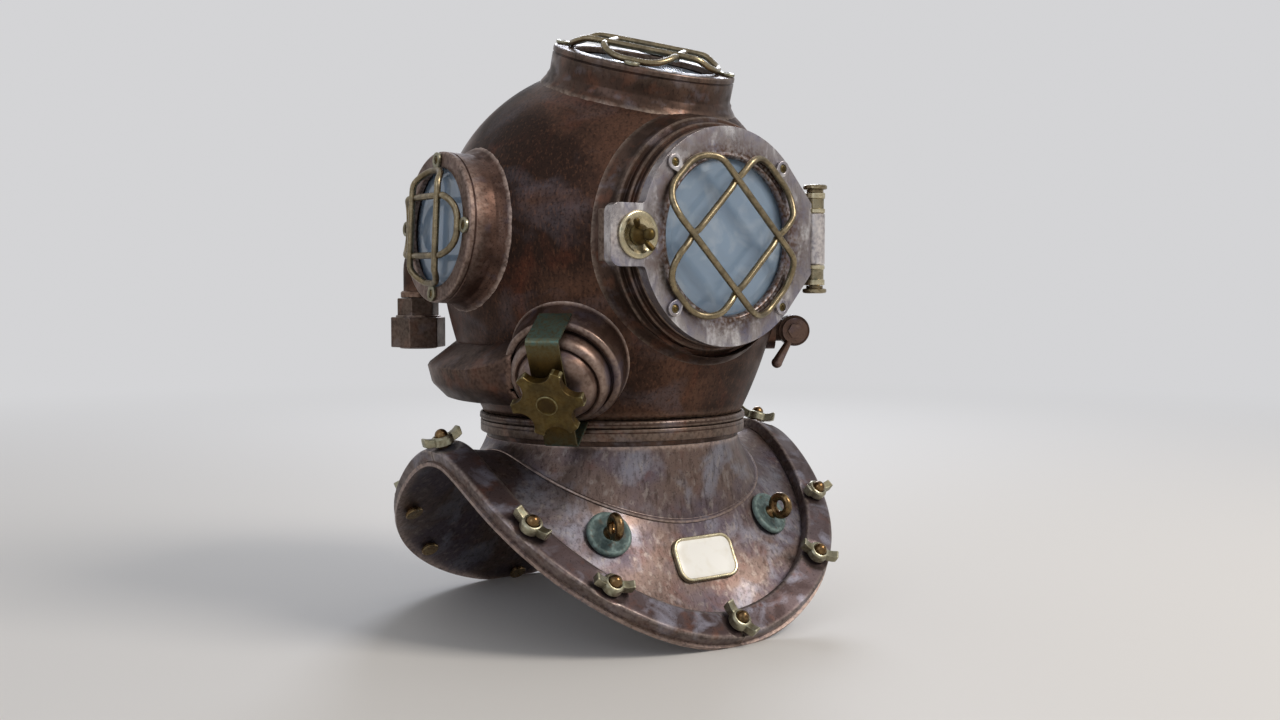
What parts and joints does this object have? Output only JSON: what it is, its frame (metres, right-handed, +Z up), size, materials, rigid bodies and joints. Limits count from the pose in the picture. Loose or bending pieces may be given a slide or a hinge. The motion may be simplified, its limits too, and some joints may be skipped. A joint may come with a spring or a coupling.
{
  "type": "diving helmet",
  "caption": "Copper diving helmet: round bonnet with guarded windows and a hinged front door, on a bolted breastplate with exhaust valve and air inlet.",
  "frame": {"origin": "on the helmet's upright axis, at the lower edge of the breastplate's neck ring", "axes": "+Z up, the front door faces -Y, +X points to the wearer's left"},
  "size_m": [0.3776, 0.3744, 0.5095],
  "materials": {
    "copper": "weathered copper sheet, brown with purple tarnish",
    "pale_copper": "rubbed copper and gunmetal castings, pinkish and worn",
    "dark_copper": "dark oxidised copper",
    "brass": "antique brass, dull",
    "bright_brass": "pale handled brass",
    "green_brass": "olive tarnished brass",
    "verdigris": "verdigris over bronze",
    "enamel": "cream enamel, satin",
    "window_glass": "clear bevelled plate glass",
    "rubber": "matte",
    "leather": "oiled"
  },
  "bodies": {
    "breastplate": {"breastplate": "copper", "breastplate_neck": "copper", "breastplate_ring": "pale_copper", "rim_studs": "bright_brass", "brail_front_left": "copper", "brail_front_right": "copper", "brail_rear_left": "copper", "brail_rear_right": "copper", "lashing_eye_bases": "verdigris", "lashing_eyes": "brass", "nameplate": "enamel", "neck_gasket": "leather"},
    "bonnet": {"bonnet_shell": "copper", "bonnet_ring": "pale_copper", "door_frame": "pale_copper", "door_seal": "rubber", "hinge_pin": "bright_brass", "right_window_frame": "copper", "left_window_frame": "copper", "top_window_frame": "copper", "right_window_glass": "window_glass", "left_window_glass": "window_glass", "top_window_glass": "window_glass", "right_window_guard": "brass", "left_window_guard": "brass", "top_window_guard": "brass", "window_guard_screws": "bright_brass", "exhaust_duct": "dark_copper", "exhaust_valve_body": "copper", "exhaust_bridge": "brass", "air_inlet_elbow": "copper", "air_inlet_body": "pale_copper", "telephone_elbow": "copper", "telephone_cap": "brass", "spitcock_body": "dark_copper"},
    "front_door": {"door_plate": "pale_copper", "door_glass": "window_glass", "door_glass_ring": "brass", "door_guard": "brass", "door_guard_screws": "bright_brass", "latch_washer": "bright_brass"},
    "latch_screw": {"latch_screw": "bright_brass"},
    "exhaust_handwheel": {"exhaust_handwheel": "green_brass"},
    "exhaust_disc": {"exhaust_disc": "brass", "exhaust_spring": "bright_brass"},
    "spitcock_plug": {"spitcock_plug": "dark_copper"},
    "inlet_disc": {"inlet_disc": "brass"},
    "safety_catch": {"safety_catch": "brass"},
    "wing_nut_01": {"wing_nut_01": "bright_brass"},
    "wing_nut_02": {"wing_nut_02": "bright_brass"},
    "wing_nut_03": {"wing_nut_03": "bright_brass"},
    "wing_nut_04": {"wing_nut_04": "bright_brass"},
    "wing_nut_05": {"wing_nut_05": "bright_brass"},
    "wing_nut_06": {"wing_nut_06": "bright_brass"},
    "wing_nut_07": {"wing_nut_07": "bright_brass"},
    "wing_nut_08": {"wing_nut_08": "bright_brass"},
    "wing_nut_09": {"wing_nut_09": "bright_brass"},
    "wing_nut_10": {"wing_nut_10": "bright_brass"},
    "wing_nut_11": {"wing_nut_11": "bright_brass"},
    "wing_nut_12": {"wing_nut_12": "bright_brass"}
  },
  "joints": [
    {"name": "bonnet_turn", "type": "hinge", "parent": "breastplate", "child": "bonnet", "pos_m": [0, 0, 0], "axis": [0, 0, 1], "range_deg": [0, 45]},
    {"name": "door_hinge", "type": "hinge", "parent": "bonnet", "child": "front_door", "pos_m": [0.098, -0.1536, 0.1655], "axis": [0, 0, 1], "range_deg": [0, 120]},
    {"name": "latch_screw_turn", "type": "hinge", "parent": "front_door", "child": "latch_screw", "pos_m": [-0.0917, -0.1566, 0.1655], "axis": [0, -1, 0], "range_deg": [0, 1080]},
    {"name": "exhaust_wheel_turn", "type": "hinge", "parent": "bonnet", "child": "exhaust_handwheel", "pos_m": [-0.10929, -0.08478, 0.0617], "axis": [-0.6843, -0.5308, -0.5], "range_deg": [0, 900]},
    {"name": "exhaust_disc_lift", "type": "slide", "parent": "bonnet", "child": "exhaust_disc", "axis": [-0.6843, -0.5308, -0.5], "range_m": [0, 0.006], "stiffness_N_per_m": 150, "springref_m": -0.012},
    {"name": "spitcock_turn", "type": "hinge", "parent": "bonnet", "child": "spitcock_plug", "pos_m": [0.12777, -0.09628, 0.087], "axis": [-0.6018, -0.7986, 0], "range_deg": [0, 90]},
    {"name": "inlet_disc_lift", "type": "slide", "parent": "bonnet", "child": "inlet_disc", "axis": [0, 0, 1], "range_m": [0, 0.004]},
    {"name": "safety_catch_turn", "type": "hinge", "parent": "breastplate", "child": "safety_catch", "pos_m": [0, 0.1214, 0.00525], "axis": [1, 0, 0], "range_deg": [0, 180]},
    {"name": "wing_nut_01_turn", "type": "hinge", "parent": "breastplate", "child": "wing_nut_01", "pos_m": [0, -0.162, -0.15], "axis": [0, -0.7071, 0.7071], "continuous": true},
    {"name": "wing_nut_02_turn", "type": "hinge", "parent": "breastplate", "child": "wing_nut_02", "pos_m": [0.10994, -0.13871, -0.11134], "axis": [-0.0481, -0.7169, 0.6955], "continuous": true},
    {"name": "wing_nut_03_turn", "type": "hinge", "parent": "breastplate", "child": "wing_nut_03", "pos_m": [0.15167, -0.09258, -0.06771], "axis": [0.0758, -0.663, 0.7448], "continuous": true},
    {"name": "wing_nut_04_turn", "type": "hinge", "parent": "breastplate", "child": "wing_nut_04", "pos_m": [0.168, 0, -0.0125], "axis": [0.309, 0, 0.9511], "continuous": true},
    {"name": "wing_nut_05_turn", "type": "hinge", "parent": "breastplate", "child": "wing_nut_05", "pos_m": [0.15167, 0.09258, -0.06771], "axis": [0.0758, 0.663, 0.7448], "continuous": true},
    {"name": "wing_nut_06_turn", "type": "hinge", "parent": "breastplate", "child": "wing_nut_06", "pos_m": [0.10994, 0.13871, -0.11134], "axis": [-0.0481, 0.7169, 0.6955], "continuous": true},
    {"name": "wing_nut_07_turn", "type": "hinge", "parent": "breastplate", "child": "wing_nut_07", "pos_m": [0, 0.162, -0.15], "axis": [0, 0.7071, 0.7071], "continuous": true},
    {"name": "wing_nut_08_turn", "type": "hinge", "parent": "breastplate", "child": "wing_nut_08", "pos_m": [-0.10994, 0.13871, -0.11134], "axis": [0.0481, 0.7169, 0.6955], "continuous": true},
    {"name": "wing_nut_09_turn", "type": "hinge", "parent": "breastplate", "child": "wing_nut_09", "pos_m": [-0.15167, 0.09258, -0.06771], "axis": [-0.0758, 0.663, 0.7448], "continuous": true},
    {"name": "wing_nut_10_turn", "type": "hinge", "parent": "breastplate", "child": "wing_nut_10", "pos_m": [-0.168, 0, -0.0125], "axis": [-0.309, 0, 0.9511], "continuous": true},
    {"name": "wing_nut_11_turn", "type": "hinge", "parent": "breastplate", "child": "wing_nut_11", "pos_m": [-0.15167, -0.09258, -0.06771], "axis": [-0.0758, -0.663, 0.7448], "continuous": true},
    {"name": "wing_nut_12_turn", "type": "hinge", "parent": "breastplate", "child": "wing_nut_12", "pos_m": [-0.10994, -0.13871, -0.11134], "axis": [0.0481, -0.7169, 0.6955], "continuous": true}
  ]
}
